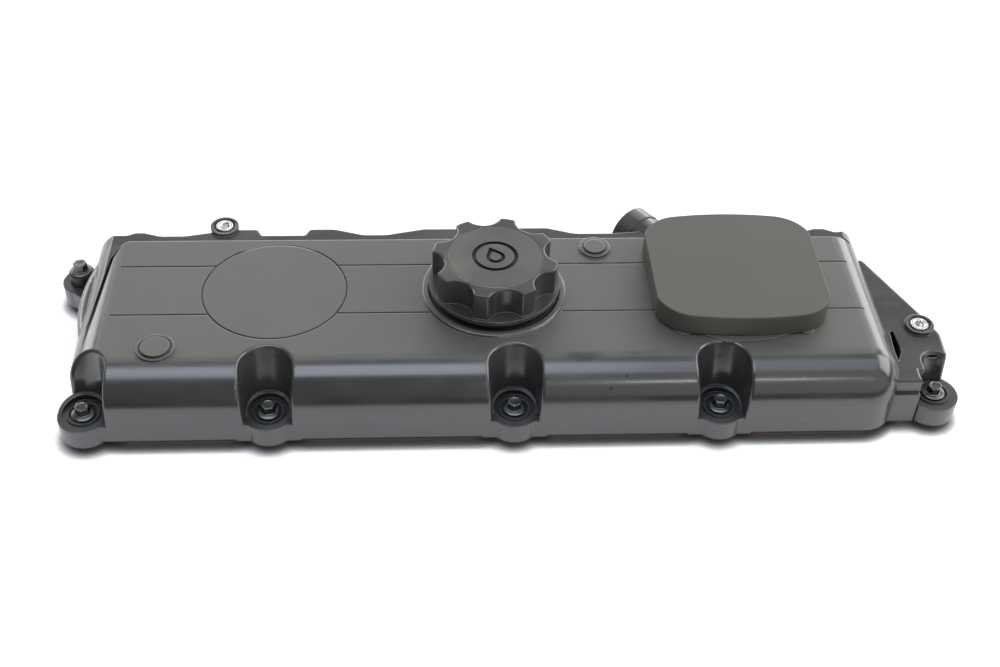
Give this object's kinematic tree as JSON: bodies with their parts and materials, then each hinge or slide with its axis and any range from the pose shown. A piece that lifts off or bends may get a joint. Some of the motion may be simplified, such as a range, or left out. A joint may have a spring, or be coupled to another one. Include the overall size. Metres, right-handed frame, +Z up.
{
  "type": "engine valve cover",
  "caption": "Black plastic engine valve cover with screw-in oil filler cap, crankcase breather and hose spigot, captive flange bolts in rubber bushes and a perimeter seal",
  "frame": {"origin": "Under the middle of the cover, on the plane on which the tips of the captive bolts stand.", "axes": "+X along the camshaft towards the breather end, +Y from the scooped front side to the rear side with the hose spigot, +Z up through the oil filler cap."},
  "size_m": [0.571, 0.178, 0.081],
  "materials": {
    "cover_plastic": "black glass-filled nylon, fine textured top and semi-gloss sides",
    "gasket_rubber": "brick-red moulded rubber",
    "bolt_steel": "dark zinc-coated steel",
    "isolator_rubber": "matte black rubber",
    "sleeve_steel": "plain zinc-plated steel",
    "cap_plastic": "satin black plastic",
    "cap_disc_plastic": "satin black plastic with a raised oil sign",
    "cap_seal_rubber": "matte black rubber",
    "breather_plastic": "fine textured black plastic",
    "diaphragm_rubber": "thin black rubber",
    "plate_plastic": "natural off-white plastic",
    "spring_steel": "bright stainless spring wire",
    "baffle_plastic": "black glass-filled nylon",
    "screw_steel": "zinc-plated steel",
    "insert_brass": "bright plated metal with a serrated rim"
  },
  "bodies": {
    "cover": {"cover_moulding": "cover_plastic", "cover_gasket": "gasket_rubber", "flange_bolts": "bolt_steel", "bolt_isolator_1": "isolator_rubber", "bolt_isolator_2": "isolator_rubber", "bolt_isolator_3": "isolator_rubber", "bolt_isolator_4": "isolator_rubber", "bolt_isolator_5": "isolator_rubber", "bolt_isolator_6": "isolator_rubber", "bolt_isolator_7": "isolator_rubber", "bolt_isolator_8": "isolator_rubber", "bolt_isolator_9": "isolator_rubber", "bolt_isolator_10": "isolator_rubber", "bolt_sleeve_1": "sleeve_steel", "bolt_sleeve_2": "sleeve_steel", "bolt_sleeve_3": "sleeve_steel", "bolt_sleeve_4": "sleeve_steel", "bolt_sleeve_5": "sleeve_steel", "bolt_sleeve_6": "sleeve_steel", "bolt_sleeve_7": "sleeve_steel", "bolt_sleeve_8": "sleeve_steel", "bolt_sleeve_9": "sleeve_steel", "bolt_sleeve_10": "sleeve_steel", "breather_cover": "breather_plastic", "breather_diaphragm": "diaphragm_rubber", "diaphragm_spring": "spring_steel", "baffle_plate": "baffle_plastic", "baffle_screws": "screw_steel", "rear_insert": "insert_brass", "end_insert": "insert_brass"},
    "cap_carriage": {"filler_cap_seal": "cap_seal_rubber"},
    "cap": {"oil_filler_cap": "cap_plastic", "filler_cap_disc": "cap_disc_plastic"},
    "valve_plate": {"diaphragm_plate": "plate_plastic"}
  },
  "joints": [
    {"name": "cap_turn", "type": "hinge", "parent": "cap_carriage", "child": "cap", "pos_m": [-0.0027, -0.0016, 0.06], "axis": [0, 0, 1], "range_deg": [0, 450]},
    {"name": "cap_rise", "type": "slide", "parent": "cover", "child": "cap_carriage", "axis": [0, 0, 1], "range_m": [0, 0.0101]},
    {"name": "diaphragm_stroke", "type": "slide", "parent": "cover", "child": "valve_plate", "axis": [0, 0, 1], "range_m": [-0.004, 0], "stiffness_N_per_m": 150, "deforming": ["diaphragm_spring", "breather_diaphragm"]}
  ],
  "couplings": [
    {"joint": "cap_rise", "follows": "cap_turn", "m_per_rad": 0.0012732}
  ]
}
